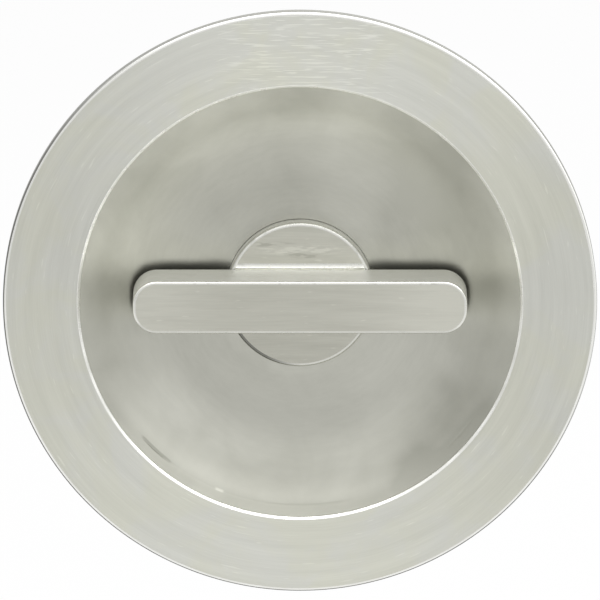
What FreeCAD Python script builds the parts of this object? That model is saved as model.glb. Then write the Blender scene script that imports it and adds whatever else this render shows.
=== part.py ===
import FreeCAD, Part
import math
import os

# Round flush pull for a pocket door, with a privacy thumb turn in its bowl.
# Millimetres. X is to the right and Z up as one faces the door, and Y goes into the door.
# The origin is on the turn's axis, in the plane of the door's face.

# Thumb turn: a bar on a round boss with a shaft behind it, in one piece
bar_length = 45.0
bar_height = 7.2
bar_depth = 7.8
bar_end_flat = 0.8
bar_edge_radius = 0.4
bar_root_fillet = 0.35
bar_end_clearance = 0.3
boss_diameter = 20.0
boss_seat = 1.1
boss_edge_radius = 0.35
shaft_diameter = 10.0
shaft_tail = 1.5
shaft_end_chamfer = 0.5

# Flange, bowl and hub: one turned piece
finger_gap = 7.5
flange_width = 10.0
flange_thickness = 2.0
flange_edge_radius = 0.45
flange_back_chamfer = 0.2
mouth_edge_radius = 0.3
lip_width = 0.25
lip_depth = 0.5
wall_slope = 38.0
floor_slope = 3.0
bowl_corner_radius = 19.0
recess_depth = 7.4
land_width = 1.4
floor_thickness = 2.0
spigot_wall = 2.0
spigot_chamfer = 4.0
hub_wall = 2.0
hub_edge_chamfer = 0.4
pocket_edge_chamfer = 0.12
boss_clearance = 0.2

# Flanged bush in the hub
bush_wall = 1.0
bush_flange_width = 2.5
bush_flange_thickness = 0.8
bearing_length = 3.6
shaft_clearance = 0.05
seat_clearance = 0.02

# Spring washer, backing washer and circlip that hold the shaft
washer_width = 3.2
washer_bore_clearance = 0.15
spring_washer_thickness = 0.4
spring_washer_height = 1.0
spring_washer_clearance = 0.08
backing_washer_thickness = 0.5
circlip_thickness = 1.0
circlip_band = 1.8
circlip_offset = 0.3
circlip_mouth = 2.4
circlip_lug_radius = 1.3
circlip_hole_diameter = 1.3
circlip_side_clearance = 0.05
groove_depth = 0.2

# Square spindle and the pin that holds it
spindle_width = 5.0
spindle_projection = 19.5
spindle_nose = 2.0
spindle_edge_chamfer = 0.35
spindle_clearance = 0.05
pin_diameter = 1.5
pin_wall = 0.3
pin_slot = 0.35
pin_recess = 0.3

# Tapped fixing posts on the back of the floor
post_spacing = 38.0
post_diameter = 7.0
post_length = 6.0
post_edge_chamfer = 0.4
post_shank_diameter = 5.0
post_shank_length = 1.2
post_thread_core = 3.3
post_thread_lead = 0.4
post_end_wall = 1.0

# Radii that follow
mouth_radius = bar_length / 2 + finger_gap
lip_radius = mouth_radius - lip_width
flange_radius = mouth_radius + flange_width
spigot_radius = mouth_radius + spigot_wall
boss_radius = boss_diameter / 2
pocket_radius = boss_radius + boss_clearance
land_radius = pocket_radius + land_width
hub_radius = pocket_radius + hub_wall
shaft_radius = shaft_diameter / 2
bush_bore_radius = shaft_radius + shaft_clearance
bush_radius = bush_bore_radius + bush_wall
washer_bore_radius = shaft_radius + washer_bore_clearance
washer_radius = washer_bore_radius + washer_width
groove_radius = shaft_radius - groove_depth

# The bowl's section: a gently rising floor and the wall meet at the knee, which an arc rounds,
# and the wall ends at the foot of a short steep lip below the flange's face
floor_angle = math.radians(floor_slope)
wall_angle = math.radians(wall_slope)
half_turn = (wall_angle - floor_angle) / 2
fall_of_wall = lip_depth + lip_radius * math.tan(wall_angle)
fall_of_floor = recess_depth + land_radius * math.tan(floor_angle)
knee_radius = (fall_of_wall - fall_of_floor) / (math.tan(wall_angle) - math.tan(floor_angle))
knee_depth = lip_depth + (lip_radius - knee_radius) * math.tan(wall_angle)
floor_room = (knee_radius - land_radius) / math.cos(floor_angle)
wall_room = (lip_radius - knee_radius) / math.cos(wall_angle)
arc_reach = min(bowl_corner_radius * math.tan(half_turn), floor_room, wall_room)
arc_radius = arc_reach / math.tan(half_turn)


def bowl_depth(radius):
    """Depth of the bowl under the flange's face at a radius: on the floor, the arc or the wall."""
    arc_start = knee_radius - arc_reach * math.cos(floor_angle)
    arc_end = knee_radius + arc_reach * math.cos(wall_angle)
    if radius >= arc_end:
        return lip_depth + (lip_radius - radius) * math.tan(wall_angle)
    if radius <= arc_start:
        return recess_depth - (radius - land_radius) * math.tan(floor_angle)
    from_centre = radius - arc_start + arc_radius * math.sin(floor_angle)
    start_depth = recess_depth - (arc_start - land_radius) * math.tan(floor_angle)
    centre_depth = start_depth - arc_radius * math.cos(floor_angle)
    return centre_depth + math.sqrt(arc_radius ** 2 - from_centre ** 2)


# Stations along Y, from the front to the back; the boss lifts the bar's ends clear of the bowl
face = -flange_thickness
floor_front = face + recess_depth
floor_back = floor_front + floor_thickness
boss_face = face + bowl_depth(bar_length / 2) - bar_end_clearance
boss_back = floor_front + boss_seat
bar_front = boss_face - bar_depth
pocket_bottom = boss_back + bush_flange_thickness
hub_back = pocket_bottom + bearing_length
spring_washer_front = hub_back + spring_washer_clearance
spring_washer_back = spring_washer_front + spring_washer_height
backing_washer_back = spring_washer_back + backing_washer_thickness
circlip_front = backing_washer_back + circlip_side_clearance
circlip_back = circlip_front + circlip_thickness
groove_back = circlip_back + circlip_side_clearance
shaft_end = groove_back + shaft_tail
pin_station = (pocket_bottom + hub_back) / 2
socket_bottom = pin_station - spindle_nose
spindle_end = shaft_end + spindle_projection

AXIS = FreeCAD.Vector(0, 1, 0)


def on_section(radius, station):
    """Point of a turned section, in the plane through the axis."""
    return FreeCAD.Vector(radius, station, 0)


def rounded_face(corners, to_point):
    """Face inside (across, along, rounding) corners, each rounded by an arc tangent to both sides."""
    points = [to_point(across, along) for across, along, rounding in corners]
    trims = []
    for index, (across, along, rounding) in enumerate(corners):
        here = points[index]
        back = (points[index - 1] - here).normalize()
        ahead = (points[(index + 1) % len(points)] - here).normalize()
        half = back.getAngle(ahead) / 2
        reach = rounding / math.tan(half)
        inward = (back + ahead).normalize()
        middle = here + inward * (rounding / math.sin(half) - rounding)
        trims.append((here + back * reach, middle, here + ahead * reach))
    shortest_run = 1e-6
    edges = []
    for index, (start, middle, end) in enumerate(trims):
        if corners[index][2]:
            edges.append(Part.Arc(start, middle, end).toShape())
        run_end = trims[(index + 1) % len(trims)][0]
        if not end.isEqual(run_end, shortest_run):
            edges.append(Part.LineSegment(end, run_end).toShape())
    return Part.Face(Part.Wire(edges))


def turned(corners):
    """Solid turned about the Y axis from (radius, station, rounding) corners."""
    return rounded_face(corners, on_section).revolve(FreeCAD.Vector(), AXIS, 360)


def disc(radius, front, back, x=0.0, z=0.0):
    """Plain round bar along Y."""
    return Part.makeCylinder(radius, back - front, FreeCAD.Vector(x, front, z), AXIS)


def tube(bore, outer, front, back):
    """Plain ring about the Y axis."""
    return disc(outer, front, back).cut(disc(bore, front, back))


def square_bar(width, front, back):
    """Square bar along Y, centred on the axis."""
    corner = FreeCAD.Vector(-width / 2, front, -width / 2)
    return Part.makeBox(width, back - front, width, corner)


def pin_along_z(radius, half_length):
    """Round bar across the shaft, upright, at the spindle pin's station."""
    foot = FreeCAD.Vector(0, pin_station, -half_length)
    return Part.makeCylinder(radius, 2 * half_length, foot)


def flush_cup():
    """Flange, dished bowl with a lip and a flat land, spigot, and hub with the boss's pocket and a bore."""
    cup = turned([
        (pocket_radius, floor_front + pocket_edge_chamfer, 0),
        (pocket_radius + pocket_edge_chamfer, floor_front, 0),
        (land_radius, floor_front, 0),
        (knee_radius, face + knee_depth, arc_radius),
        (lip_radius, face + lip_depth, 0),
        (mouth_radius, face, mouth_edge_radius),
        (flange_radius, face, flange_edge_radius),
        (flange_radius, -flange_back_chamfer, 0),
        (flange_radius - flange_back_chamfer, 0, 0),
        (spigot_radius, 0, 0),
        (spigot_radius, floor_back - spigot_chamfer, 0),
        (spigot_radius - spigot_chamfer, floor_back, 0),
        (hub_radius, floor_back, 0),
        (hub_radius, hub_back - hub_edge_chamfer, 0),
        (hub_radius - hub_edge_chamfer, hub_back, 0),
        (bush_radius + seat_clearance, hub_back, 0),
        (bush_radius + seat_clearance, pocket_bottom, 0),
        (pocket_radius, pocket_bottom, 0),
    ])
    for side in (-1, 1):
        socket_radius = post_shank_diameter / 2 + seat_clearance
        socket_front = floor_back - post_shank_length - seat_clearance
        cup = cup.cut(disc(socket_radius, socket_front, floor_back, side * post_spacing / 2))
    return cup


def shaft_bush():
    """Flanged bush: the barrel fills the hub's bore and the flange lies on the pocket's bottom."""
    return turned([
        (bush_bore_radius, boss_back, 0),
        (bush_radius + bush_flange_width, boss_back, 0),
        (bush_radius + bush_flange_width, pocket_bottom, 0),
        (bush_radius, pocket_bottom, 0),
        (bush_radius, hub_back, 0),
        (bush_bore_radius, hub_back, 0),
    ])


def fixing_post(side):
    """Post with a shank in the floor and a tapped hole from the back, on one side of the hub."""
    shank_radius = post_shank_diameter / 2
    post_back = floor_back + post_length
    core_radius = post_thread_core / 2
    post = turned([
        (0, floor_back - post_shank_length, 0),
        (shank_radius, floor_back - post_shank_length, 0),
        (shank_radius, floor_back, 0),
        (post_diameter / 2, floor_back, 0),
        (post_diameter / 2, post_back - post_edge_chamfer, 0),
        (post_diameter / 2 - post_edge_chamfer, post_back, 0),
        (core_radius + post_thread_lead, post_back, 0),
        (core_radius, post_back - post_thread_lead, 0),
        (core_radius, floor_back + post_end_wall, 0),
        (0, floor_back + post_end_wall, 0),
    ])
    return post.translated(FreeCAD.Vector(side * post_spacing / 2, 0, 0))


def bar_blank():
    """The bar's outline, with its nearly round ends, carried straight back to the boss's face."""
    corner = (bar_height - bar_end_flat) / 2
    half_length = bar_length / 2
    half_height = bar_height / 2
    outline = rounded_face([
        (-half_length, -half_height, corner),
        (half_length, -half_height, corner),
        (half_length, half_height, corner),
        (-half_length, half_height, corner),
    ], lambda x, z: FreeCAD.Vector(x, bar_front, z))
    return outline.extrude(AXIS * bar_depth)


def bar_root(side):
    """Hollow fillet that blends one long side of the bar into the boss's face."""
    foot = side * bar_height / 2
    inside = foot - side * bar_root_fillet
    out = foot + side * bar_root_fillet
    top = boss_face - bar_root_fillet
    sag = bar_root_fillet * (1 - math.sqrt(0.5))
    start = FreeCAD.Vector(-boss_radius, top, foot)
    middle = FreeCAD.Vector(-boss_radius, boss_face - sag, foot + side * sag)
    end = FreeCAD.Vector(-boss_radius, boss_face, out)
    buried = [
        FreeCAD.Vector(-boss_radius, boss_face, inside),
        FreeCAD.Vector(-boss_radius, top, inside),
    ]
    edges = [
        Part.Arc(start, middle, end).toShape(),
        Part.LineSegment(end, buried[0]).toShape(),
        Part.LineSegment(buried[0], buried[1]).toShape(),
        Part.LineSegment(buried[1], start).toShape(),
    ]
    return Part.Face(Part.Wire(edges)).extrude(FreeCAD.Vector(boss_diameter, 0, 0))


def thumb_turn():
    """Bar, boss and shaft in one piece, with the circlip's groove and the spindle's square socket."""
    blank = bar_blank()
    rims = [edge for edge in blank.Edges if edge.BoundBox.YLength < bar_edge_radius]
    bar = blank.makeFillet(bar_edge_radius, rims)
    flat_of_boss = disc(boss_radius - boss_edge_radius, boss_face - bar_edge_radius, boss_face)
    roots = [blank.common(flat_of_boss)]
    roots += [bar_root(side).common(flat_of_boss) for side in (-1, 1)]
    spine = turned([
        (0, boss_face, 0),
        (boss_radius, boss_face, boss_edge_radius),
        (boss_radius, boss_back, 0),
        (shaft_radius, boss_back, 0),
        (shaft_radius, backing_washer_back, 0),
        (groove_radius, backing_washer_back, 0),
        (groove_radius, groove_back, 0),
        (shaft_radius, groove_back, 0),
        (shaft_radius, shaft_end - shaft_end_chamfer, 0),
        (shaft_radius - shaft_end_chamfer, shaft_end, 0),
        (0, shaft_end, 0),
    ])
    whole = spine.fuse([bar] + roots).removeSplitter()
    whole = whole.cut(square_bar(spindle_width + 2 * spindle_clearance, socket_bottom, shaft_end))
    return whole.cut(pin_along_z(pin_diameter / 2 + seat_clearance, shaft_radius))


def spring_washer():
    """Washer bent to a cylinder: two opposite edges face the hub and the crown meets the backing washer."""
    rise = spring_washer_height - spring_washer_thickness
    spread = washer_radius ** 2 + spring_washer_height ** 2 - spring_washer_thickness ** 2
    bend_radius = spread / (2 * rise)
    start = FreeCAD.Vector(-washer_radius, spring_washer_back - bend_radius, 0)
    along = FreeCAD.Vector(1, 0, 0)
    outside = Part.makeCylinder(bend_radius, 2 * washer_radius, start, along)
    inside = Part.makeCylinder(bend_radius - spring_washer_thickness, 2 * washer_radius, start, along)
    ring = tube(washer_bore_radius, washer_radius, spring_washer_front, spring_washer_back)
    return ring.common(outside).cut(inside)


def backing_washer():
    """Plain washer between the spring washer and the circlip."""
    return tube(washer_bore_radius, washer_radius, spring_washer_back, backing_washer_back)


def circlip():
    """Open retaining ring, thickest opposite its mouth, with two eyed lugs."""
    bore = groove_radius + seat_clearance
    ring_radius = bore + circlip_band - circlip_offset
    ring = disc(ring_radius, circlip_front, circlip_back, 0, circlip_offset)
    lug_x = circlip_mouth / 2 + circlip_lug_radius
    lug_z = -math.sqrt(ring_radius ** 2 - lug_x ** 2)
    for side in (-1, 1):
        ring = ring.fuse(disc(circlip_lug_radius, circlip_front, circlip_back, side * lug_x, lug_z))
    for side in (-1, 1):
        eye_radius = circlip_hole_diameter / 2
        ring = ring.cut(disc(eye_radius, circlip_front, circlip_back, side * lug_x, lug_z))
    ring = ring.cut(disc(bore, circlip_front, circlip_back))
    reach = 2 * ring_radius
    corner = FreeCAD.Vector(-circlip_mouth / 2, circlip_front, -reach)
    return ring.cut(Part.makeBox(circlip_mouth, circlip_thickness, reach, corner))


def spindle():
    """Square bar with broken edges, cross-drilled for its pin."""
    bar = square_bar(spindle_width, socket_bottom + spindle_clearance, spindle_end)
    corners = [edge for edge in bar.Edges if edge.BoundBox.YLength > spindle_width]
    bar = bar.makeChamfer(spindle_edge_chamfer, corners)
    return bar.cut(pin_along_z(pin_diameter / 2 + seat_clearance, spindle_width))


def spindle_pin():
    """Slotted spring pin, a little shorter than the shaft is thick."""
    half_length = shaft_radius - pin_recess
    pin = pin_along_z(pin_diameter / 2, half_length)
    pin = pin.cut(pin_along_z(pin_diameter / 2 - pin_wall, half_length))
    corner = FreeCAD.Vector(0, pin_station - pin_slot / 2, -half_length)
    return pin.cut(Part.makeBox(pin_diameter, pin_slot, 2 * half_length, corner))


nodes = {
    "flush_cup": flush_cup(),
    "shaft_bush": shaft_bush(),
    "fixing_post_left": fixing_post(-1),
    "fixing_post_right": fixing_post(1),
    "thumb_turn": thumb_turn(),
    "spring_washer": spring_washer(),
    "backing_washer": backing_washer(),
    "circlip": circlip(),
    "spindle": spindle(),
    "spindle_pin": spindle_pin(),
}

os.makedirs("parts", exist_ok=True)
for name, solid in nodes.items():
    solid.exportStep(f"parts/{name}.step")
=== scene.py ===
import math
import bpy
import numpy as np
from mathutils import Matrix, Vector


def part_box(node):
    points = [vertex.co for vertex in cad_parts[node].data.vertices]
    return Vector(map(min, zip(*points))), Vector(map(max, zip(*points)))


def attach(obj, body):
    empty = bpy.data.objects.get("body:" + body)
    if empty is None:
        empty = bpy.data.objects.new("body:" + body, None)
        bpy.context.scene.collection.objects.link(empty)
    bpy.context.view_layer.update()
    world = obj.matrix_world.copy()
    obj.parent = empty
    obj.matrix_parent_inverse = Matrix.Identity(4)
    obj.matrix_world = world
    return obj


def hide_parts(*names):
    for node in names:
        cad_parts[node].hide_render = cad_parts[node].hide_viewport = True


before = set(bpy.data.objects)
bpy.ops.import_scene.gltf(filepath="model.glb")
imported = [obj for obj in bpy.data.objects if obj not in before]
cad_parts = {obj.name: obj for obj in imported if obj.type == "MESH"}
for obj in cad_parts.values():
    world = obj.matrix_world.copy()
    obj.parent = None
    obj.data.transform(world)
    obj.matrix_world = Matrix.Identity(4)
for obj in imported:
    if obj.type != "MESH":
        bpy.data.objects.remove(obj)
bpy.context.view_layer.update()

# Flush cup: flange, dished bowl with a lip, and the spigot and hub behind them.
# One piece of stainless steel, turned on a lathe. The flange is brushed round and round, the bowl is
# polished satin by hand, and the back shows its turning marks. The flange lies on the door's face.
mm = 0.001
cup_low, cup_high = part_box("flush_cup")
flange_radius = cup_high.x / mm
face = cup_low.y / mm
hub_back = cup_high.y / mm
flange_edge_radius = 0.45
mouth_radius = 30.0
mouth_edge_radius = 0.12
lip_radius = 29.75
lip_depth = 0.5
rim_chamfer = 0.31
rim_step = 0.03
wall_slope = math.tan(math.radians(38.0))
floor_slope = math.tan(math.radians(3.0))
bowl_corner_radius = 19.0
land_radius = 11.6
floor_front = 5.4
floor_back = 7.4
spigot_radius = 32.0
spigot_chamfer = 4.0
pocket_radius = 10.04
pocket_bottom = 7.3
pocket_edge_chamfer = 0.04
hub_radius = 12.2
hub_bore_radius = 6.07
broken_edge = 0.2
cup_turns = 420


def rounded_profile(corners):
    """Closed outline through (radius, station, rounding, step) corners.

    Each corner is the arc of its rounding that touches both its sides. The arc and the straight run after
    it have points at most step apart. Gives the points, and for each the number of its corner, with a
    half added where the straight run begins."""
    table = np.array(corners, float)
    spots = table[:, :2]
    back = np.roll(spots, 1, axis=0) - spots
    ahead = np.roll(spots, -1, axis=0) - spots
    back /= np.linalg.norm(back, axis=1, keepdims=True)
    ahead /= np.linalg.norm(ahead, axis=1, keepdims=True)
    half = np.arccos(np.clip((back * ahead).sum(axis=1), -1, 1)) / 2
    reach = (table[:, 2] / np.tan(half))[:, None]
    starts = spots + back * reach
    ends = spots + ahead * reach
    arc_step = math.radians(6)
    points, owners = [], []
    for number, (rounding, step) in enumerate(table[:, 2:]):
        arc = spots[number:number + 1]
        if rounding:
            middle = back[number] + ahead[number]
            centre = spots[number] + middle / np.linalg.norm(middle) * rounding / math.sin(half[number])
            first = starts[number] - centre
            last = ends[number] - centre
            turn = math.atan2(first[0] * last[1] - first[1] * last[0], first @ last)
            count = 1 + math.ceil(abs(turn) * max(1 / arc_step, rounding / step))
            angle = math.atan2(first[1], first[0]) + np.linspace(0, turn, count)
            arc = centre + rounding * np.stack([np.cos(angle), np.sin(angle)], axis=1)
        run = starts[(number + 1) % len(table)] - ends[number]
        run_count = max(1, math.ceil(np.linalg.norm(run) / step))
        share = np.arange(1, run_count)[:, None] / run_count
        points += [arc, ends[number] + share * run]
        owners += [np.full(len(arc) - 1, number), np.full(run_count, number + 0.5)]
    return np.concatenate(points), np.concatenate(owners)


def turned(radius, station, turns):
    """Surface of revolution about the Y axis: a profile point at angle a is (r cos a, y, r sin a).

    radius may be one value for each profile point, or one for each profile point and angle."""
    angle = np.arange(turns) * (2 * np.pi / turns)
    radius = np.broadcast_to(radius.reshape(len(station), -1), (len(station), turns))
    along = np.broadcast_to(station[:, None], radius.shape)
    return np.stack([radius * np.cos(angle), along, radius * np.sin(angle)], axis=2)


def surface_normals(points):
    """Unit normals of a grid closed both ways: the cross product of its central differences."""
    by_row = np.roll(points, -1, axis=0) - np.roll(points, 1, axis=0)
    by_column = np.roll(points, -1, axis=1) - np.roll(points, 1, axis=1)
    normals = np.cross(by_row, by_column)
    return normals / np.linalg.norm(normals, axis=2, keepdims=True)


def shell(points, rows_closed=False, zones=0, flat_rows=False):
    """Closed skin of a grid of points whose columns meet round the back.

    A quad joins each point to the next row and column. Rows that don't meet are closed by a cap at each
    end. zones gives each row's material, and flat_rows the rows brushed straight along X, whose UV is
    (x, z) where the others have (column, row)."""
    rows, columns = points.shape[:2]
    quad_rows = rows if rows_closed else rows - 1
    row, column = np.meshgrid(np.arange(quad_rows), np.arange(columns), indexing="ij")
    row_steps = np.array([0, 1, 1, 0])
    column_steps = np.array([0, 0, 1, 1])
    corner_rows = row[..., None] + row_steps
    corner_columns = column[..., None] + column_steps
    quads = (corner_rows % rows) * columns + corner_columns % columns
    around = np.stack([corner_columns / columns, corner_rows / rows], axis=-1)
    straight = points.reshape(-1, 3)[quads][..., [0, 2]]
    flat = np.broadcast_to(flat_rows, quad_rows)
    uv = np.where(flat[:, None, None, None], straight, around)
    zone = np.broadcast_to(np.broadcast_to(zones, quad_rows)[:, None], (quad_rows, columns))
    caps = []
    if not rows_closed:
        caps = [np.arange(columns), (rows - 1) * columns + np.arange(columns)[::-1]]
    return {
        "points": points.reshape(-1, 3),
        "quads": quads.reshape(-1, 4),
        "uv": uv.reshape(-1, 2),
        "zone": zone.reshape(-1),
        "caps": caps,
    }


def add_piece(name, shells, materials, body, node):
    """One mesh of closed skins in millimetres, smooth but for sharp corners, riding on its body."""
    corners, sizes, uv, zone = [], [], [], []
    first = 0
    for skin in shells:
        caps = skin["caps"]
        cap_points = [skin["points"][cap][:, [0, 2]] for cap in caps]
        corners += [skin["quads"].reshape(-1) + first] + [cap + first for cap in caps]
        sizes += [np.full(len(skin["quads"]), 4), np.array([len(cap) for cap in caps], int)]
        uv += [skin["uv"]] + cap_points
        cap_zones = [skin["zone"][0], skin["zone"][-1]][:len(caps)]
        zone += [skin["zone"], np.array(cap_zones, int)]
        first += len(skin["points"])
    points = np.concatenate([skin["points"] for skin in shells]) * mm
    corners = np.concatenate(corners)
    sizes = np.concatenate(sizes)
    mesh = bpy.data.meshes.new(name)
    mesh.vertices.add(len(points))
    mesh.vertices.foreach_set("co", points.reshape(-1).astype(np.float32))
    mesh.loops.add(len(corners))
    mesh.loops.foreach_set("vertex_index", corners.astype(np.int32))
    mesh.polygons.add(len(sizes))
    mesh.polygons.foreach_set("loop_start", (np.cumsum(sizes) - sizes).astype(np.int32))
    mesh.polygons.foreach_set("material_index", np.concatenate(zone).astype(np.int32))
    mesh.update(calc_edges=True)
    brush = mesh.uv_layers.new(name="brush")
    brush.data.foreach_set("uv", np.concatenate(uv).reshape(-1).astype(np.float32))
    mesh.validate()
    mesh.shade_smooth()
    sharp_corner = math.radians(32)
    mesh.set_sharp_from_angle(angle=sharp_corner)
    for material in materials:
        mesh.materials.append(material)
    piece = bpy.data.objects.new(name, mesh)
    bpy.context.scene.collection.objects.link(piece)
    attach(piece, body)
    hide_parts(node)


def add_node(tree, kind, settings=None, **inputs):
    """New shader node with its settings and the constants or links of its named inputs."""
    node = tree.nodes.new(kind)
    for key, value in (settings or {}).items():
        setattr(node, key, value)
    for key, value in inputs.items():
        socket = node.inputs[int(key[1:])] if key[0] == "_" else node.inputs[key.replace("_", " ")]
        if isinstance(value, bpy.types.NodeSocket):
            tree.links.new(value, socket)
        else:
            socket.default_value = value
    return node


def math_node(tree, operation, *values):
    """Output of a Math node on constants or sockets."""
    inputs = {f"_{place}": value for place, value in enumerate(values)}
    return add_node(tree, "ShaderNodeMath", {"operation": operation}, **inputs).outputs[0]


def vector_node(tree, operation, *values, output=0):
    """Output of a Vector Math node on constants or sockets."""
    inputs = {f"_{place}": value for place, value in enumerate(values)}
    return add_node(tree, "ShaderNodeVectorMath", {"operation": operation}, **inputs).outputs[output]


def ranged(tree, value, low, high, to_low, to_high):
    """Value between low and high, spread smoothly from to_low to to_high and held outside."""
    node = add_node(tree, "ShaderNodeMapRange", {"interpolation_type": "SMOOTHSTEP"}, Value=value)
    for key, number in (("From Min", low), ("From Max", high), ("To Min", to_low), ("To Max", to_high)):
        node.inputs[key].default_value = number
    return node.outputs["Result"]


def mixed(tree, share, first, second):
    """Colour between two colours."""
    node = add_node(tree, "ShaderNodeMix", {"data_type": "RGBA"}, _0=share, _6=first, _7=second)
    return node.outputs[2]


def effect_group(name, inputs, outputs):
    """Empty shader node group with named value or vector inputs and value outputs."""
    tree = bpy.data.node_groups.new(name, "ShaderNodeTree")
    for socket_name, kind in inputs:
        tree.interface.new_socket(name=socket_name, in_out="INPUT", socket_type=kind)
    for socket_name in outputs:
        tree.interface.new_socket(name=socket_name, in_out="OUTPUT", socket_type="NodeSocketFloat")
    return tree, tree.nodes.new("NodeGroupInput"), tree.nodes.new("NodeGroupOutput")


def noise(tree, vector, scale, detail, roughness=0.55, distortion=0.0):
    """Noise value, about 0.5 on the whole."""
    node = add_node(tree, "ShaderNodeTexNoise", Vector=vector, Scale=scale, Detail=detail,
                    Roughness=roughness, Distortion=distortion)
    return node.outputs["Fac"]


# Brushing: fine streaks, broad bands and a few short bright dashes. The vector has the way along the
# brushing in X and Z and the way across it in Y, in streak lengths and streak widths.
brushing, given, made = effect_group(
    "brushing", [("Vector", "NodeSocketVector")], ["Streaks", "Bands", "Dashes"])
band_stretch = (0.3, 0.16, 0.3)
dash_stretch = (2.5, 0.55, 2.5)
dash_offset = (31, 17, 5)
streak_noise = noise(brushing, given.outputs["Vector"], scale=1.0, detail=3.0, roughness=0.6)
band_vector = vector_node(brushing, "MULTIPLY", given.outputs["Vector"], band_stretch)
band_noise = noise(brushing, band_vector, scale=1.0, detail=2.0)
dash_vector = vector_node(brushing, "MULTIPLY_ADD", given.outputs["Vector"], dash_stretch, dash_offset)
dash_noise = noise(brushing, dash_vector, scale=1.0, detail=0.0)
brushing.links.new(streak_noise, made.inputs["Streaks"])
brushing.links.new(band_noise, made.inputs["Bands"])
brushing.links.new(ranged(brushing, dash_noise, 0.75, 0.84, 0.0, 1.0), made.inputs["Dashes"])

# Hand polish: soft clouds of finer and coarser satin.
hand_polish, given, made = effect_group(
    "hand_polish", [("Vector", "NodeSocketVector"), ("Scale", "NodeSocketFloat")], ["Clouds"])
scaled = add_node(hand_polish, "ShaderNodeVectorMath", {"operation": "SCALE"},
                  Vector=given.outputs["Vector"], Scale=given.outputs["Scale"]).outputs[0]
clouds = noise(hand_polish, scaled, scale=1.0, detail=4.0, distortion=0.6)
hand_polish.links.new(clouds, made.inputs["Clouds"])


def new_material(name):
    """Material with its tree, its Principled BSDF and the Object coordinates in millimetres."""
    material = bpy.data.materials.new(name)
    material.use_nodes = True
    tree = material.node_tree
    shader = tree.nodes["Principled BSDF"]
    place = tree.nodes.new("ShaderNodeTexCoord").outputs["Object"]
    place = add_node(tree, "ShaderNodeVectorMath", {"operation": "SCALE"}, Vector=place,
                     Scale=1 / mm).outputs[0]
    return material, tree, shader, place


def use_group(tree, group, **inputs):
    """Outputs of a node group placed in a material."""
    return add_node(tree, "ShaderNodeGroup", {"node_tree": group}, **inputs).outputs


def set_bump(tree, shader, height, depth, strength):
    """Bump of a height from 0 to 1, depth millimetres deep."""
    bump = add_node(tree, "ShaderNodeBump", Height=height, Strength=strength, Distance=depth * mm)
    tree.links.new(bump.outputs["Normal"], shader.inputs["Normal"])


def brush_tangent(tree, shader, anisotropy):
    """Stretches the gloss across the brushing, which runs along u of the brush UV map."""
    tangent = add_node(tree, "ShaderNodeTangent", {"direction_type": "UV_MAP", "uv_map": "brush"})
    quarter_turn = 0.25
    tree.links.new(tangent.outputs["Tangent"], shader.inputs["Tangent"])
    shader.inputs["Anisotropic"].default_value = anisotropy
    shader.inputs["Anisotropic Rotation"].default_value = quarter_turn


def ring_place(tree, place, around, across):
    """Vector for brushing round the Y axis: around times the direction from the axis, across times r + y."""
    parts = add_node(tree, "ShaderNodeSeparateXYZ", Vector=place).outputs
    flat = add_node(tree, "ShaderNodeCombineXYZ", X=parts["X"], Z=parts["Z"]).outputs[0]
    radius = vector_node(tree, "LENGTH", flat, output="Value")
    turn = vector_node(tree, "MULTIPLY", vector_node(tree, "NORMALIZE", flat), (around, around, around))
    reach = math_node(tree, "MULTIPLY", math_node(tree, "ADD", radius, parts["Y"]), across)
    step = add_node(tree, "ShaderNodeCombineXYZ", Y=reach).outputs[0]
    return vector_node(tree, "ADD", turn, step)


def tone_of(tree, effects, streaks, bands, dashes):
    """Weighted sum of the brushing's streaks, bands and dashes, about 0.5 on the whole."""
    fine_part = math_node(tree, "MULTIPLY_ADD", effects["Streaks"], streaks, 0.5 - streaks / 2)
    band_part = math_node(tree, "MULTIPLY_ADD", effects["Bands"], bands, -bands / 2)
    dash_part = math_node(tree, "MULTIPLY", effects["Dashes"], dashes)
    return math_node(tree, "ADD", math_node(tree, "ADD", fine_part, band_part), dash_part)


def straight_place(tree, place, along_axis, along, across):
    """Vector for straight brushing: along times the place on one axis, across times the sum of the others."""
    parts = add_node(tree, "ShaderNodeSeparateXYZ", Vector=place).outputs
    others = [axis for axis in "XYZ" if axis != along_axis]
    way = math_node(tree, "MULTIPLY", parts[along_axis], along)
    reach = math_node(tree, "MULTIPLY", math_node(tree, "ADD", parts[others[0]], parts[others[1]]), across)
    return add_node(tree, "ShaderNodeCombineXYZ", X=way, Y=reach).outputs[0]


# The flange's face: steel of a warmer and a cooler tone, with short straight rub marks at the top.
flange_steel, tree, shader, place = new_material("flange_steel")
flange_dark = (0.665, 0.668, 0.585, 1)
flange_light = (0.875, 0.878, 0.78, 1)
flange_cool_dark = (0.665, 0.67, 0.615, 1)
flange_cool_light = (0.87, 0.875, 0.815, 1)
rub_rise = (24.0, 34.0)
rub_middle = 1.0
rub_half_width = (5.0, 14.0)
effects = use_group(tree, brushing, Vector=ring_place(tree, place, around=6.0, across=7.0))
tone = tone_of(tree, effects, streaks=0.38, bands=0.45, dashes=0.3)
parts = add_node(tree, "ShaderNodeSeparateXYZ", Vector=place).outputs
rub_place = straight_place(tree, place, "X", along=0.27, across=4.2)
rubbed = ranged(tree, noise(tree, rub_place, scale=1.0, detail=1.0), 0.56, 0.68, 0.0, 1.0)
rubbed_top = math_node(tree, "MULTIPLY", rubbed, ranged(tree, parts["Z"], *rub_rise, 0.0, 1.0))
off_middle = math_node(tree, "ABSOLUTE", math_node(tree, "SUBTRACT", parts["X"], rub_middle))
rubbed_side = ranged(tree, off_middle, *rub_half_width, 1.0, 0.0)
tone = math_node(tree, "ADD", tone, math_node(tree, "MULTIPLY", rubbed_top, rubbed_side))
warm = mixed(tree, tone, flange_dark, flange_light)
cool = mixed(tree, tone, flange_cool_dark, flange_cool_light)
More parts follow.
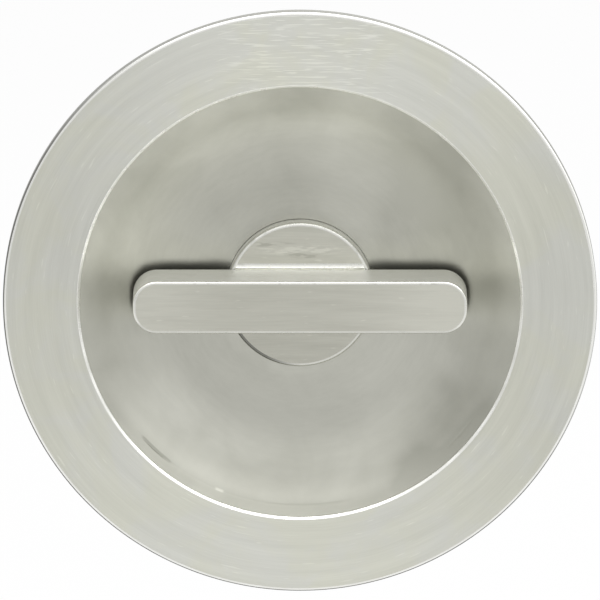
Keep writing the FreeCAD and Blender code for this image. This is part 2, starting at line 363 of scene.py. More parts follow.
polish = use_group(tree, hand_polish, Vector=place, Scale=0.09)
cool_share = ranged(tree, polish["Clouds"], 0.4, 0.62, 0.0, 1.0)
tree.links.new(mixed(tree, cool_share, warm, cool), shader.inputs["Base Color"])
tree.links.new(ranged(tree, tone, 0.2, 0.8, 0.53, 0.47), shader.inputs["Roughness"])
set_bump(tree, shader, effects["Streaks"], depth=0.01, strength=0.15)
brush_tangent(tree, shader, anisotropy=0.85)
shader.inputs["Metallic"].default_value = 1

# The bowl: hand-polished satin, with patches of painted highlight and painted shade that stand in for the
# bowl's shading, and painted shade by the lower rim. Patches, and nicks in the tool line, are each given as
# (across, up, reach, change of tone).
line_radius = 28.4
bowl_steel, tree, shader, place = new_material("bowl_steel")
bowl_dark = (0.455, 0.455, 0.4, 1)
bowl_light = (0.665, 0.665, 0.598, 1)
polish = use_group(tree, hand_polish, Vector=place, Scale=0.12)
effects = use_group(tree, brushing, Vector=ring_place(tree, place, around=7.0, across=2.2))
cloud_weight = 0.55
streak_weight = 0.3
base_tone = 0.075
tone = math_node(tree, "MULTIPLY_ADD", polish["Clouds"], cloud_weight, base_tone)
tone = math_node(tree, "MULTIPLY_ADD", effects["Streaks"], streak_weight, tone)
# Lighter and darker patches: painted highlight and painted shade.
painted_light_patches = [
    (-21.0, -16.0, 9.0, 0.45), (-17.0, -20.5, 6.0, 0.2), (-3.0, -26.0, 10.0, -0.2),
    (16.4, -24.0, 5.5, -0.9), (20.2, -13.0, 2.6, -0.25), (17.5, 18.5, 14.0, -0.6),
    (-4.0, 16.0, 16.0, -0.4), (-18.0, 15.0, 12.0, -0.4), (17.0, 9.0, 10.0, -0.4),
    (27.0, 3.0, 6.0, -0.45), (0.0, 28.5, 7.0, -0.45), (21.0, -17.0, 9.0, -0.35),
    (11.0, -11.0, 10.0, 0.25),
]
flat = vector_node(tree, "MULTIPLY", place, (1, 0, 1))
radius = vector_node(tree, "LENGTH", flat, output="Value")
for across, up, reach, amount in painted_light_patches:
    away = vector_node(tree, "DISTANCE", flat, (across, 0, up), output="Value")
    tone = math_node(tree, "ADD", tone, ranged(tree, away, 0.0, reach, amount, 0.0))
parts = add_node(tree, "ShaderNodeSeparateXYZ", Vector=place).outputs
# Painted shade along the lower rim of the bowl.
rim_shade_ring = (27.2, 29.2)
rim_shade_below = (-9.0, -17.0)
rim_shade_change = -0.45
rim_painted_shade = math_node(tree, "MULTIPLY", ranged(tree, radius, *rim_shade_ring, 0.0, rim_shade_change),
                     ranged(tree, parts["Z"], *rim_shade_below, 0.0, 1.0))
tone = math_node(tree, "ADD", tone, rim_painted_shade)
off_line = math_node(tree, "ABSOLUTE", math_node(tree, "SUBTRACT", radius, line_radius))
nick_half_width = (0.06, 0.24)
on_line = ranged(tree, off_line, *nick_half_width, 1.0, 0.0)
nick_core = 0.4
nicks = [(-19.5, -20.65, 2.9, -2.8), (22.0, -18.0, 1.3, -0.6), (-10.9, -26.2, 0.8, 0.7),
         (1.0, -28.4, 6.5, -0.35)]
for across, up, reach, amount in nicks:
    away = vector_node(tree, "DISTANCE", flat, (across, 0, up), output="Value")
    change = ranged(tree, away, reach * nick_core, reach, amount, 0.0)
    tone = math_node(tree, "ADD", tone, math_node(tree, "MULTIPLY", on_line, change))
tree.links.new(mixed(tree, tone, bowl_dark, bowl_light), shader.inputs["Base Color"])
wall_start, wall_end = 17.0, 27.0
floor_roughness, wall_roughness = 0.32, 0.44
cloud_grain = 0.12
dullness = ranged(tree, radius, wall_start, wall_end, floor_roughness, wall_roughness)
grain = math_node(tree, "MULTIPLY_ADD", polish["Clouds"], -cloud_grain, cloud_grain / 2)
tree.links.new(math_node(tree, "ADD", dullness, grain), shader.inputs["Roughness"])
set_bump(tree, shader, effects["Streaks"], depth=0.012, strength=0.15)
brush_tangent(tree, shader, anisotropy=0.2)
shader.inputs["Metallic"].default_value = 1

# The back: plain turning marks.
turned_steel, tree, shader, place = new_material("turned_steel")
turned_dark = (0.34, 0.34, 0.315, 1)
turned_light = (0.5, 0.5, 0.465, 1)
effects = use_group(tree, brushing, Vector=ring_place(tree, place, around=1.2, across=4.0))
tone = tone_of(tree, effects, streaks=1.2, bands=0.9, dashes=0.4)
tree.links.new(mixed(tree, tone, turned_dark, turned_light), shader.inputs["Base Color"])
tree.links.new(ranged(tree, tone, 0.2, 0.8, 0.46, 0.32), shader.inputs["Roughness"])
set_bump(tree, shader, effects["Streaks"], depth=0.04, strength=0.5)
brush_tangent(tree, shader, anisotropy=0.5)
shader.inputs["Metallic"].default_value = 1

# The rim's chamfer and the front of the flange's edge: burnished bright.
rim_edge, tree, shader, place = new_material("rim_edge")
rim_dark = (0.84, 0.84, 0.79, 1)
rim_light = (0.97, 0.97, 0.94, 1)
polish = use_group(tree, hand_polish, Vector=place, Scale=0.3)
tree.links.new(mixed(tree, polish["Clouds"], rim_dark, rim_light), shader.inputs["Base Color"])
tree.links.new(ranged(tree, polish["Clouds"], 0.3, 0.7, 0.34, 0.24), shader.inputs["Roughness"])
shader.inputs["Metallic"].default_value = 1

# The flange's outer edge: painted shade, dark for the dark room that it faces, with a painted highlight
# towards its front and the upper right, where the light falls.
flange_shade, tree, shader, place = new_material("flange_shade")
outer_shade_colour = (0.17, 0.17, 0.16, 1)
outer_highlight_colour = (0.92, 0.92, 0.88, 1)
polish = use_group(tree, hand_polish, Vector=place, Scale=0.4)
highlight_way = (0.6, 0, 0.8)
highlight_reach = (-8.0, 30.0)
highlight_depth = (face + 0.14, face + 0.3)
rear_highlight_share = 0.25
# The painted highlight grows towards the upper right, and fades from the face to the back.
highlight_side = vector_node(tree, "DOT_PRODUCT", place, highlight_way, output="Value")
parts = add_node(tree, "ShaderNodeSeparateXYZ", Vector=place).outputs
front_highlight = ranged(tree, parts["Y"], *highlight_depth, 1.0, rear_highlight_share)
painted_light_share = math_node(tree, "MULTIPLY", ranged(tree, highlight_side, *highlight_reach, 0.0, 1.0), front_highlight)
tree.links.new(mixed(tree, painted_light_share, outer_shade_colour, outer_highlight_colour), shader.inputs["Base Color"])
tree.links.new(ranged(tree, polish["Clouds"], 0.3, 0.7, 0.5, 0.36), shader.inputs["Roughness"])
shader.inputs["Metallic"].default_value = 1

bowl_steps = 0.42
flat_steps = 0.7
plain_steps = 1.5
line_half_width = 0.6
line_steps = 0.09
lip_steps = 0.25
rim_steps = 0.12
flange_edge_steps = 0.4
knee_rise = lip_radius * wall_slope + lip_depth + face - floor_front - land_radius * floor_slope
knee_radius = knee_rise / (wall_slope - floor_slope)


def wall_station(radius):
    """Station on the bowl's straight wall, which falls by the wall's slope from the lip's foot."""
    return face + lip_depth + (lip_radius - radius) * wall_slope


step_radius = mouth_radius - rim_chamfer - rim_step
cup_corners = [
    (pocket_radius, floor_front + pocket_edge_chamfer, 0, plain_steps),
    (pocket_radius + pocket_edge_chamfer, floor_front, 0, flat_steps),
    (land_radius, floor_front, 0, flat_steps),
    (knee_radius, wall_station(knee_radius), bowl_corner_radius, bowl_steps),
    (line_radius - line_half_width, wall_station(line_radius - line_half_width), 0, line_steps),
    (line_radius + line_half_width, wall_station(line_radius + line_half_width), 0, lip_steps),
    (step_radius, wall_station(step_radius), 0, rim_steps),
    (step_radius + rim_step, face + rim_chamfer, 0, rim_steps),
    (mouth_radius, face, mouth_edge_radius, flat_steps),
    (flange_radius, face, flange_edge_radius, flange_edge_steps),
    (flange_radius, 0, broken_edge, plain_steps),
    (spigot_radius, 0, 0, plain_steps),
    (spigot_radius, floor_back - spigot_chamfer, broken_edge, plain_steps),
    (spigot_radius - spigot_chamfer, floor_back, broken_edge, plain_steps),
    (hub_radius, floor_back, broken_edge, plain_steps),
    (hub_radius, hub_back, broken_edge, plain_steps),
    (hub_bore_radius, hub_back, broken_edge, plain_steps),
    (hub_bore_radius, pocket_bottom, 0, plain_steps),
    (pocket_radius, pocket_bottom, 0, plain_steps),
]
land_corner, step_corner, mouth_corner, flange_corner = 2, 6, 8, 9
flange_zone, bowl_zone, turned_zone, rim_zone, shade_zone = range(5)
# Share of the flange's edge radius, from the face, that stays burnished; the rest of the edge has painted
# shade.
burnished_share = 0.17


def bowl_marks(radius, angle):
    """Height over the turned bowl: polishing waves and a tool line that is deeper at a few places.

    The waves are a sum of cosines of whole turns of the angle and of the radius, faded out by a smooth step
    at the floor's land and at the rim. The line is a groove of bell-shaped section, and its depth is a sum
    of bells round its places, each given as (angle in degrees, spread, depth)."""
    chance = np.random.default_rng(11)
    count = 24
    most_turns = 14
    steepest = 0.8
    wave_height = 0.003
    plain_land = 1.0
    inner_fade = 5.0
    outer_fade = 2.0
    turns = chance.integers(1, most_turns + 1, count)
    rise = chance.uniform(-steepest, steepest, count)
    phase = chance.uniform(0, 2 * np.pi, count)
    waves = np.cos(turns * angle[..., None] + rise * radius[..., None] + phase).sum(axis=-1) * wave_height
    inner = np.clip((radius - land_radius - plain_land) / inner_fade, 0, 1)
    outer = np.clip((step_radius - radius) / outer_fade, 0, 1)
    ends = inner ** 2 * (3 - 2 * inner) * outer ** 2 * (3 - 2 * outer)
    line_width = 0.13
    line_places = [(226.6, 4.5, 0.1), (270, 12, 0.026), (320, 5, 0.03), (245, 14, 0.008), (300, 10, 0.006)]
    line_depth = 0 * angle
    for middle, spread, depth in line_places:
        line_depth = line_depth + depth * np.exp(-((np.degrees(angle) - middle) / spread) ** 2)
    line = line_depth * np.exp(-((radius - line_radius) / line_width) ** 2)
    return waves * ends - line


cup_profile, cup_owner = rounded_profile(cup_corners)
cup_points = turned(cup_profile[:, 0], cup_profile[:, 1], cup_turns)
cup_angle = np.broadcast_to(np.arange(cup_turns) * (2 * np.pi / cup_turns), cup_points.shape[:2])
cup_radius = np.broadcast_to(cup_profile[:, :1], cup_points.shape[:2])
in_bowl = (cup_owner > land_corner) & (cup_owner < step_corner)
mark_height = np.where(in_bowl[:, None], bowl_marks(cup_radius, cup_angle), 0)
cup_points = cup_points + surface_normals(cup_points) * mark_height[..., None]
# The flange's edge behind its burnished front share gets flange_shade: painted shade and highlight.
past_edge = cup_profile[:, 1] > face + flange_edge_radius * burnished_share
cup_zone = np.select(
    [cup_owner < step_corner, cup_owner <= mouth_corner, cup_owner < flange_corner,
     (cup_owner == flange_corner) & past_edge, cup_owner == flange_corner],
    [bowl_zone, rim_zone, flange_zone, shade_zone, rim_zone], turned_zone)
add_piece("flush_cup_turned", [shell(cup_points, True, cup_zone)],
          [flange_steel, bowl_steel, turned_steel, rim_edge, flange_shade], "pull", "flush_cup")

# Shaft bush: flanged bearing bush, turned from white acetal.
# It is pressed into the hub, the shaft runs in it and the boss bears on its flange.
acetal, tree, shader, place = new_material("bush_acetal")
acetal_shade = (0.74, 0.73, 0.67, 1)
acetal_light = (0.84, 0.83, 0.78, 1)
effects = use_group(tree, brushing, Vector=ring_place(tree, place, around=0.8, across=3.0))
tree.links.new(mixed(tree, effects["Bands"], acetal_shade, acetal_light), shader.inputs["Base Color"])
tree.links.new(ranged(tree, effects["Streaks"], 0.3, 0.7, 0.42, 0.55), shader.inputs["Roughness"])
set_bump(tree, shader, effects["Streaks"], depth=0.02, strength=0.3)
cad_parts["shaft_bush"].data.materials[0] = acetal

# Fixing posts: two zinc-plated steel posts with a tapped hole for a screw from the far side of the door.
# Each is turned, with a shank that is pressed into the back of the cup's floor.
plated, tree, shader, place = new_material("zinc_plate")
plate_dark = (0.43, 0.45, 0.47, 1)
plate_light = (0.61, 0.62, 0.61, 1)
polish = use_group(tree, hand_polish, Vector=place, Scale=0.5)
tree.links.new(mixed(tree, polish["Clouds"], plate_dark, plate_light), shader.inputs["Base Color"])
tree.links.new(ranged(tree, polish["Clouds"], 0.3, 0.7, 0.42, 0.3), shader.inputs["Roughness"])
set_bump(tree, shader, polish["Clouds"], depth=0.02, strength=0.2)
shader.inputs["Metallic"].default_value = 1
post_radius = 3.5
post_edge = 0.3
post_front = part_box("fixing_post_left")[0].y / mm
post_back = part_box("fixing_post_left")[1].y / mm
post_shank_radius = 2.5
thread_core_radius = 1.65
thread_depth = 0.36
thread_pitch = 0.7
thread_lead = 0.4
lead_rounding = 0.1
thread_sharpness = 1.25
thread_flat = 0.1
hole_clearance = 1.0
hole_bottom = floor_back + hole_clearance
thread_step = 0.07
lead_step = 0.1
bottom_step = 0.4
closing_step = 100.0
pole = 0.02
post_turns = 96
post_corners = [
    (pole, post_front, 0, plain_steps),
    (post_shank_radius, post_front, 0, plain_steps),
    (post_shank_radius, floor_back, 0, plain_steps),
    (post_radius, floor_back, 0, plain_steps),
    (post_radius, post_back, post_edge, plain_steps),
    (thread_core_radius + thread_lead, post_back, lead_rounding, lead_step),
    (thread_core_radius, post_back - thread_lead, 0, thread_step),
    (thread_core_radius, hole_bottom, 0, bottom_step),
    (pole, hole_bottom, 0, closing_step),
]
bore_run = 6.5


def post_points(side):
    """Turned post whose bore is cut by a helix: a triangle wave of y over pitch less angle over a turn.

    The wave is sharpened and held at both ends, so that the thread has flat crests and roots."""
    profile, owner = rounded_profile(post_corners)
    turn = np.arange(post_turns) / post_turns
    wave = np.abs((profile[:, 1:2] / thread_pitch - turn) % 1.0 - 0.5) * 2
    in_bore = (owner == bore_run)[:, None]
    cut = thread_depth * np.clip(wave * thread_sharpness - thread_flat, 0, 1)
    radius = profile[:, 0:1] + np.where(in_bore, cut, 0)
    points = turned(radius, profile[:, 1], post_turns)
    middle = (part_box(f"fixing_post_{side}")[0].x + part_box(f"fixing_post_{side}")[1].x) / 2 / mm
    return points + np.array([middle, 0, 0])


for side in ("left", "right"):
    add_piece(f"fixing_post_{side}_tapped", [shell(post_points(side))], [plated], "pull",
              f"fixing_post_{side}")

# Thumb turn: the bar that the fingers turn, on a round boss with the shaft behind it.
# Cast in stainless steel in one piece, turned behind, and brushed along the bar by hand.
bar_low, bar_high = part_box("thumb_turn")
bar_half_length = bar_high.x / mm
bar_front = bar_low.y / mm
bar_half_height = 3.6
bar_depth = 7.8
bar_back = bar_front + bar_depth
bar_end_radius = 3.2
bar_edge_radius = 0.4
boss_radius = bar_high.z / mm
boss_edge_radius = 0.5
boss_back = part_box("shaft_bush")[0].y / mm
shaft_radius = 5.0
shaft_end = bar_high.y / mm
groove_radius = 4.8
groove_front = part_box("backing_washer")[1].y / mm
groove_clearance = 0.05
groove_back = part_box("circlip")[1].y / mm + groove_clearance
shaft_end_chamfer = 0.5
root_fillet = 0.75

# The bar's and the boss's faces: lighter towards the bar's ends, and darker low on the boss below the bar,
# painted shade under the bar; each given as (axis, start, end, change of tone). Smears on the boss are
# (across, up, half length, half height, change).
bar_steel, tree, shader, place = new_material("bar_steel")
bar_dark = (0.465, 0.462, 0.402, 1)
bar_light = (0.685, 0.682, 0.606, 1)
bar_tones_and_shade = [("X", -8.0, -22.0, 0.3), ("X", 3.0, 21.0, 0.5), ("Z", -3.5, -9.0, -0.15)]
smears = [(0.4, 5.5, 2.8, 0.5, -5.0), (0.0, 6.3, 8.0, 1.1, 2.0), (-3.5, 6.9, 5.0, 0.6, -2.0)]
smear_core = 0.2
smear_weight = 0.4
effects = use_group(tree, brushing, Vector=straight_place(tree, place, "X", along=0.22, across=4.2))
tone = tone_of(tree, effects, streaks=0.5, bands=0.6, dashes=0.3)
parts = add_node(tree, "ShaderNodeSeparateXYZ", Vector=place).outputs
# The last tone is painted shade on the boss under the bar.
for axis, start, end, change in bar_tones_and_shade:
    tone = math_node(tree, "ADD", tone, ranged(tree, parts[axis], start, end, 0.0, change))
smear_noise = noise(tree, straight_place(tree, place, "X", along=0.5, across=3.0), scale=1.0, detail=2.0)
for across, up, half_length, half_height, amount in smears:
    spread = vector_node(tree, "MULTIPLY", place, (1 / half_length, 0, 1 / half_height))
    away = vector_node(tree, "DISTANCE", spread, (across / half_length, 0, up / half_height), output="Value")
    weight = math_node(tree, "MULTIPLY", ranged(tree, away, smear_core, 1.0, 1.0, 0.0),
                       ranged(tree, smear_noise, 0.42, 0.62, 0.0, smear_weight))
    tone = math_node(tree, "MULTIPLY_ADD", weight, amount, tone)
tree.links.new(mixed(tree, tone, bar_dark, bar_light), shader.inputs["Base Color"])
tree.links.new(ranged(tree, tone, 0.2, 0.8, 0.42, 0.32), shader.inputs["Roughness"])
set_bump(tree, shader, effects["Streaks"], depth=0.02, strength=0.25)
brush_tangent(tree, shader, anisotropy=0.5)
shader.inputs["Metallic"].default_value = 1

# The bar's and the boss's front edges and the bar's foot: burnished bright, with painted shade on the bar's
# underside and a darker painted shade at the boss's lower left.
burnished_edge, tree, shader, place = new_material("burnished_edge")
edge_dark = (0.66, 0.66, 0.61, 1)
edge_light = (0.8, 0.8, 0.75, 1)
lower_left_shade_colour = (0.2, 0.2, 0.18, 1)
underside_shade = (-2.4, -3.3)
lower_left_shade_height = (-4.0, -4.6)
lower_left_shade_reach = (1.0, -5.0)
polish = use_group(tree, hand_polish, Vector=place, Scale=0.6)
edge_shine_and_shade = ranged(tree, polish["Clouds"], 0.3, 0.45, 0.0, 1.0)
parts = add_node(tree, "ShaderNodeSeparateXYZ", Vector=place).outputs
# Painted shade on the bar's underside.
edge_shine_and_shade = math_node(tree, "ADD", edge_shine_and_shade, ranged(tree, parts["Z"], *underside_shade, 0.0, -1.0))
# Painted shade at the boss's lower left.
lower_left_shade_low = ranged(tree, parts["Z"], *lower_left_shade_height, 0.0, 1.0)
painted_light_share = math_node(tree, "MULTIPLY", lower_left_shade_low, ranged(tree, parts["X"], *lower_left_shade_reach, 0.0, 1.0))
edge_colour = mixed(tree, edge_shine_and_shade, edge_dark, edge_light)
tree.links.new(mixed(tree, painted_light_share, edge_colour, lower_left_shade_colour), shader.inputs["Base Color"])
tree.links.new(ranged(tree, polish["Clouds"], 0.3, 0.7, 0.3, 0.18), shader.inputs["Roughness"])
shader.inputs["Metallic"].default_value = 1

# The bar's rear edges and back: dull, and dark as painted shade for the gap behind the bar.
edge_shade, tree, shader, place = new_material("edge_shade")
shade_dark = (0.16, 0.16, 0.15, 1)
shade_light = (0.3, 0.3, 0.28, 1)
polish = use_group(tree, hand_polish, Vector=place, Scale=0.4)
tree.links.new(mixed(tree, polish["Clouds"], shade_dark, shade_light), shader.inputs["Base Color"])
tree.links.new(ranged(tree, polish["Clouds"], 0.3, 0.7, 0.6, 0.45), shader.inputs["Roughness"])
shader.inputs["Metallic"].default_value = 1

# The sides of the bar and the boss: fine satin, lightest on the bar over the boss as a painted reflection of
# the boss's face.
side_steel, tree, shader, place = new_material("side_steel")
side_dark = (0.78, 0.78, 0.73, 1)
side_light = (0.98, 0.98, 0.95, 1)
polish = use_group(tree, hand_polish, Vector=place, Scale=0.3)
parts = add_node(tree, "ShaderNodeSeparateXYZ", Vector=place).outputs
# Painted reflection of the boss's face on the bar's top over the boss.
boss_reflection_reach = (8.6, 9.8)
boss_reflection_gain = 0.9
boss_reflection = ranged(tree, math_node(tree, "ABSOLUTE", parts["X"]), *boss_reflection_reach, boss_reflection_gain, 0.0)
tone = math_node(tree, "ADD", polish["Clouds"], boss_reflection)
tree.links.new(mixed(tree, tone, side_dark, side_light), shader.inputs["Base Color"])
tree.links.new(ranged(tree, polish["Clouds"], 0.3, 0.7, 0.5, 0.4), shader.inputs["Roughness"])
shader.inputs["Metallic"].default_value = 1

brushed_zone, spine_turned_zone, edge_zone, side_zone, dark_zone = range(5)


def bar_outline():
    """Rectangle with arcs for corners, anticlockwise in X and Z, with its outward normals."""
    outline_steps = 1.0
    quadrants = [(1, -1), (1, 1), (-1, 1), (-1, -1)]
    corners = [(across * bar_half_length, up * bar_half_height, bar_end_radius, outline_steps)
               for across, up in quadrants]
    outline = rounded_profile(corners)[0]
    along = np.roll(outline, -1, axis=0) - np.roll(outline, 1, axis=0)
    along /= np.linalg.norm(along, axis=1, keepdims=True)
    return outline, np.stack([along[:, 1], -along[:, 0]], axis=1)


def bar_points():
    """The outline carried from front to back: drawn in to the middle line on the two faces, and set in
    by the quarter circle of the edge radius at the front and rear edges. Gives too which rows are on a
    face, and the zone of each row."""
    edge_rows = 10
    side_rows = 9
    face_shares = np.array([0.01, 0.25, 0.5, 0.75, 0.92])[:, None, None]
    outline, outward = bar_outline()
    quarter = np.radians(np.linspace(0, 90, edge_rows))
    edge_inset = bar_edge_radius * (1 - np.sin(quarter))
    edge_sink = bar_edge_radius * (1 - np.cos(quarter))
    side = np.linspace(bar_front + bar_edge_radius, bar_back - bar_edge_radius, side_rows)[1:-1]
    inset = np.concatenate([edge_inset, 0 * side, edge_inset[::-1]])
    station = np.concatenate([bar_front + edge_sink, side, bar_back - edge_sink[::-1]])
    flat = outline - inset[:, None, None] * outward
    middle_reach = bar_half_length - bar_half_height
    middle = np.stack([np.clip(outline[:, 0], -middle_reach, middle_reach), 0 * outline[:, 1]], axis=1)
    front = middle + face_shares * (flat[0] - middle)
    rear = middle + face_shares[::-1] * (flat[-1] - middle)
    flat = np.concatenate([front, flat, rear])
    depth = np.concatenate([np.full(len(front), bar_front), station, np.full(len(rear), bar_back)])
    depth = np.broadcast_to(depth[:, None], flat.shape[:2])
    row = np.arange(len(flat) - 1)
    from_middle = np.abs(row - (len(flat) - 2) / 2)
    on_edge = from_middle > (len(side) + 1) / 2
    on_face = from_middle > len(side) / 2 + len(quarter) - 0.5
    on_back = on_edge & (row > len(flat) / 2)
    zone = np.select([on_back, on_face, on_edge], [dark_zone, brushed_zone, edge_zone], side_zone)
    return np.stack([flat[..., 0], depth, flat[..., 1]], axis=2), on_face, zone


def root_points(side):
    """Hollow fillet along one side of the bar's foot: a quarter circle and the corner that it fills,
    carried along X between the ends of the boss's flat at each height."""
    fillet_rows = 8
    root_columns = 60
    quarter = np.radians(np.linspace(0, 90, fillet_rows))
    height = bar_half_height + root_fillet * (1 - np.cos(quarter))
    sink = bar_back - root_fillet * (1 - np.sin(quarter))
    buried = 0.1
    height = np.append(height, bar_half_height - buried) * side
    sink = np.append(sink, bar_back + buried)
    reach = np.sqrt((boss_radius - boss_edge_radius) ** 2 - height ** 2)
    along = np.linspace(-1, 1, root_columns)[:, None] * reach
    return np.stack([along, np.broadcast_to(sink, along.shape),
                     np.broadcast_to(height, along.shape)], axis=2)[:, ::side]


spine_turns = 240
boss_face_steps = 0.5
boss_back_edge = 0.1
boss_corner = 1
spine_corners = [
    (pole, bar_back, 0, boss_face_steps),
    (boss_radius, bar_back, boss_edge_radius, plain_steps),
    (boss_radius, boss_back, boss_back_edge, plain_steps),
    (shaft_radius, boss_back, 0, plain_steps),
    (shaft_radius, groove_front, 0, plain_steps),
    (groove_radius, groove_front, 0, plain_steps),
    (groove_radius, groove_back, 0, plain_steps),
    (shaft_radius, groove_back, 0, plain_steps),
    (shaft_radius, shaft_end - shaft_end_chamfer, 0, plain_steps),
    (shaft_radius - shaft_end_chamfer, shaft_end, 0, plain_steps),
    (pole, shaft_end, 0, closing_step),
]
spine_profile, spine_owner = rounded_profile(spine_corners)
spine_points = turned(spine_profile[:, 0], spine_profile[:, 1], spine_turns)
on_boss_face = spine_owner < boss_corner
spine_zone = np.select(
    [on_boss_face, spine_owner == boss_corner, spine_owner < boss_corner + 1],
    [brushed_zone, edge_zone, side_zone], spine_turned_zone)
bar_grid, bar_face_rows, bar_zone = bar_points()
turn_skins = [
    shell(bar_grid, zones=bar_zone, flat_rows=bar_face_rows),
    shell(spine_points, zones=spine_zone[:-1], flat_rows=on_boss_face[:-1]),
    shell(root_points(1), zones=edge_zone),
    shell(root_points(-1), zones=edge_zone),
]
add_piece("thumb_turn_brushed", turn_skins,
          [bar_steel, turned_steel, burnished_edge, side_steel, edge_shade], "turn", "thumb_turn")

# Spring washer, circlip and spring pin: spring steel, blackened and lightly oiled.
# The washer is bent, the circlip is punched and sits in the shaft's groove, and the pin is rolled.
spring_steel, tree, shader, place = new_material("blackened_spring_steel")
spring_dark = (0.09, 0.085, 0.08, 1)
spring_light = (0.24, 0.23, 0.22, 1)
polish = use_group(tree, hand_polish, Vector=place, Scale=0.7)
tree.links.new(mixed(tree, polish["Clouds"], spring_dark, spring_light), shader.inputs["Base Color"])
tree.links.new(ranged(tree, polish["Clouds"], 0.3, 0.7, 0.5, 0.34), shader.inputs["Roughness"])
set_bump(tree, shader, polish["Clouds"], depth=0.02, strength=0.25)
shader.inputs["Metallic"].default_value = 0.85
for node in ("spring_washer", "circlip", "spindle_pin"):
    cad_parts[node].data.materials[0] = spring_steel

# Backing washer: plain punched washer in zinc-plated steel.
# It lies between the spring washer and the circlip.
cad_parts["backing_washer"].data.materials[0] = plated

# Spindle: square drawn steel bar, zinc plated, in the shaft's socket, where a pin holds it.
# It goes through the door and turns the lock.
drawn, tree, shader, place = new_material("drawn_bar")
effects = use_group(tree, brushing, Vector=straight_place(tree, place, "Y", along=0.15, across=4.0))
tone = tone_of(tree, effects, streaks=0.9, bands=0.9, dashes=0.4)
tree.links.new(mixed(tree, tone, plate_dark, plate_light), shader.inputs["Base Color"])
tree.links.new(ranged(tree, tone, 0.2, 0.8, 0.42, 0.3), shader.inputs["Roughness"])
set_bump(tree, shader, effects["Streaks"], depth=0.02, strength=0.3)
shader.inputs["Metallic"].default_value = 1
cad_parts["spindle"].data.materials[0] = drawn

# Studio: a pale floor well below the part, and one large soft light overhead, a little behind and to the
# right. The room is white. In reflections the floor and the room are greyer in front, at the sides and
# behind, and the room is brighter edge-on to the flange.
floor_height = -0.13
floor_half = 3.0
floor_mesh = bpy.data.meshes.new("floor")
floor_quadrants = [(-1, -1), (1, -1), (1, 1), (-1, 1)]
floor_corners = [(x * floor_half, y * floor_half, floor_height) for x, y in floor_quadrants]
floor_mesh.from_pydata(floor_corners, [], [(0, 1, 2, 3)])
floor = bpy.data.objects.new("floor", floor_mesh)
bpy.context.scene.collection.objects.link(floor)
floor_paint = bpy.data.materials.new("floor_paint")
floor_paint.use_nodes = True
tree = floor_paint.node_tree
tree.nodes["Principled BSDF"].inputs["Base Color"].default_value = (0.85, 0.85, 0.85, 1)
tree.nodes["Principled BSDF"].inputs["Roughness"].default_value = 0.9
white = add_node(tree, "ShaderNodeEmission", Color=(1, 1, 1, 1), Strength=1.0)
rays = tree.nodes.new("ShaderNodeLightPath").outputs
seen = math_node(tree, "MAXIMUM", rays["Is Camera Ray"], rays["Is Transmission Ray"])
front_share = 0.35
back_share = 0.2
near_share = 0.9
front_fade = (-0.5, -0.15)
back_fade = (0.1, 0.4)
place = add_node(tree, "ShaderNodeSeparateXYZ",
                 Vector=tree.nodes.new("ShaderNodeTexCoord").outputs["Object"]).outputs
front_part = ranged(tree, place["Y"], *front_fade, front_share, near_share)
back_part = ranged(tree, place["Y"], *back_fade, near_share, back_share)
mirror_share = math_node(tree, "MINIMUM", front_part, back_part)
mirror_part = math_node(tree, "MULTIPLY", rays["Is Glossy Ray"], mirror_share)
seen_part = math_node(tree, "MULTIPLY", seen, near_share)
share = math_node(tree, "MAXIMUM", seen_part, mirror_part)
blend = add_node(tree, "ShaderNodeMixShader", Fac=share)
tree.links.new(tree.nodes["Principled BSDF"].outputs[0], blend.inputs[1])
tree.links.new(white.outputs[0], blend.inputs[2])
tree.links.new(blend.outputs[0], tree.nodes["Material Output"].inputs["Surface"])
floor_mesh.materials.append(floor_paint)

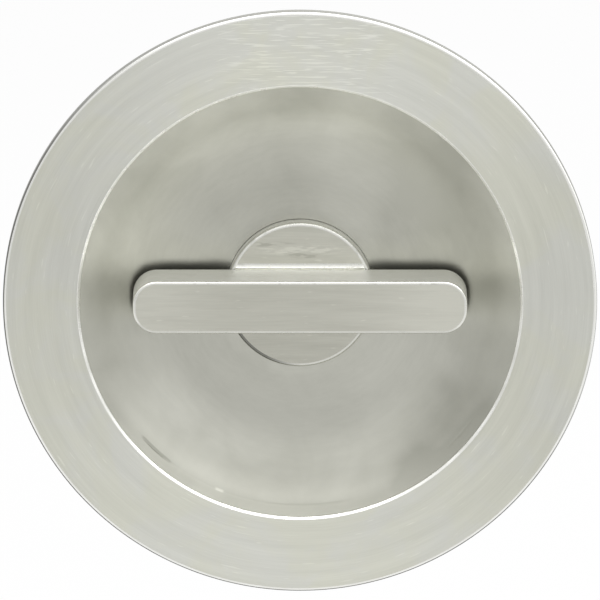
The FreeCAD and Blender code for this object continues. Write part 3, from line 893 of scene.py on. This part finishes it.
# Each fall of the room's light in reflections is (axis, start, end, loss) of the way that they look.
world = bpy.data.worlds.new("white_room")
bpy.context.scene.world = world
world.use_nodes = True
tree = world.node_tree
room_light = 0.55
falls = [("X", -0.35, -1.0, 0.45), ("X", 0.35, 1.0, 0.15), ("Y", -0.75, -1.0, 0.24),
         ("Y", -0.3, -0.14, -0.5), ("Y", 0.6, 0.95, 1.05), ("Z", 0.2, 0.6, -0.15)]
way = add_node(tree, "ShaderNodeSeparateXYZ",
               Vector=tree.nodes.new("ShaderNodeTexCoord").outputs["Generated"]).outputs
mirrored = 1.0
for axis, start, end, fall in falls:
    mirrored = math_node(tree, "SUBTRACT", mirrored, ranged(tree, way[axis], start, end, 0.0, fall))
rays = tree.nodes.new("ShaderNodeLightPath").outputs
glossy_light = math_node(tree, "MULTIPLY", rays["Is Glossy Ray"], mirrored)
seen = math_node(tree, "MAXIMUM", rays["Is Camera Ray"], rays["Is Transmission Ray"])
lit = math_node(tree, "MULTIPLY", math_node(tree, "SUBTRACT", 1.0, rays["Is Glossy Ray"]), room_light)
strength = math_node(tree, "MAXIMUM", seen, math_node(tree, "ADD", glossy_light, lit))
tree.nodes["Background"].inputs["Color"].default_value = (1, 1, 1, 1)
tree.links.new(strength, tree.nodes["Background"].inputs["Strength"])

softbox = bpy.data.lights.new("softbox", "AREA")
softbox.shape = "RECTANGLE"
softbox.size = 1.6
softbox.size_y = 0.9
softbox_radiance = 1.8
softbox.energy = softbox_radiance * math.pi * softbox.size * softbox.size_y
softbox_stand = bpy.data.objects.new("softbox", softbox)
softbox_stand.location = (0.2, 0.2, 0.75)
softbox_stand.rotation_euler = (math.radians(12), math.radians(14), 0)
softbox_stand.visible_camera = False
bpy.context.scene.collection.objects.link(softbox_stand)

# Camera: straight in front and a little above, far enough for the part's small perspective.
camera_elevation = math.radians(13.0)
camera_distance = 1.5
frame_width = 80.75 * mm
aim_height = 0.5 * mm
aim = (0.0, face * mm, aim_height)
lens = bpy.data.cameras.new("camera")
lens.sensor_width = 36.0
lens.lens = lens.sensor_width * camera_distance / frame_width
lens.clip_start = 0.01
lens.clip_end = 20.0
camera = bpy.data.objects.new("camera", lens)
camera.location = (aim[0], aim[1] - camera_distance * math.cos(camera_elevation),
                   aim[2] + camera_distance * math.sin(camera_elevation))
camera.rotation_euler = (math.pi / 2 - camera_elevation, 0, 0)
bpy.context.scene.collection.objects.link(camera)
bpy.context.scene.camera = camera
bpy.context.scene.view_settings.view_transform = "Standard"
